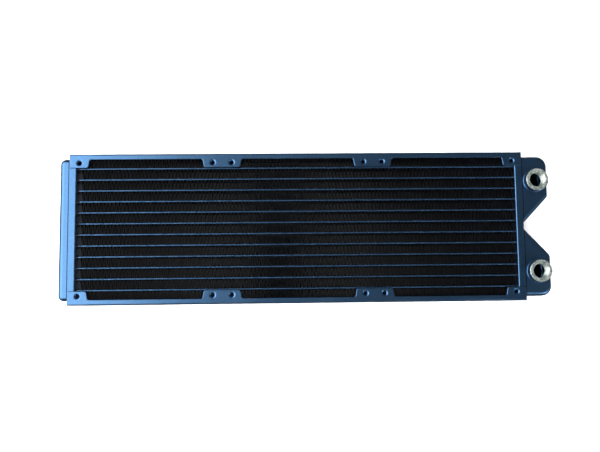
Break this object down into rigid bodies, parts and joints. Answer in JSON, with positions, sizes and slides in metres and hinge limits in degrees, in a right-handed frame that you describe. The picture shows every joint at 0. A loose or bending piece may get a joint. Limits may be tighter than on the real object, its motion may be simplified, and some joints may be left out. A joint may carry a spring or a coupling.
{
  "type": "liquid cooling radiator",
  "caption": "Slim long liquid cooling radiator: flat tubes with folded fins between two end tanks, threaded ports on one end, tapped fan tabs on both faces.",
  "frame": {"origin": "centre of the middle fan's hole pattern on the rear face", "axes": "+X along the radiator towards the ports, +Y across it, +Z out of the port face"},
  "size_m": [0.3903, 0.1194, 0.0255],
  "materials": {
    "rail_paint": "satin black with a blue sheen",
    "tank_paint": "satin black with a blue sheen",
    "core_paint": "satin black",
    "fin_paint": "thin matt black over copper foil",
    "divider_brass": "bare sheet",
    "port_nickel": "nickel plated, turned"
  },
  "bodies": {
    "root": {"side_rail_upper": "rail_paint", "side_rail_lower": "rail_paint", "flat_tube_01": "core_paint", "flat_tube_02": "core_paint", "flat_tube_03": "core_paint", "flat_tube_04": "core_paint", "flat_tube_05": "core_paint", "flat_tube_06": "core_paint", "flat_tube_07": "core_paint", "flat_tube_08": "core_paint", "flat_tube_09": "core_paint", "flat_tube_10": "core_paint", "flat_tube_11": "core_paint", "flat_tube_12": "core_paint", "fin_row_01": "fin_paint", "fin_row_02": "fin_paint", "fin_row_03": "fin_paint", "fin_row_04": "fin_paint", "fin_row_05": "fin_paint", "fin_row_06": "fin_paint", "fin_row_07": "fin_paint", "fin_row_08": "fin_paint", "fin_row_09": "fin_paint", "fin_row_10": "fin_paint", "fin_row_11": "fin_paint", "fin_row_12": "fin_paint", "fin_row_13": "fin_paint", "core_side_plate_upper": "core_paint", "core_side_plate_lower": "core_paint", "header_plate_return": "tank_paint", "header_plate_port": "tank_paint", "return_tank": "tank_paint", "port_tank": "tank_paint", "tank_divider": "divider_brass", "port_bush_upper": "port_nickel", "port_bush_lower": "port_nickel"}
  },
  "joints": []
}
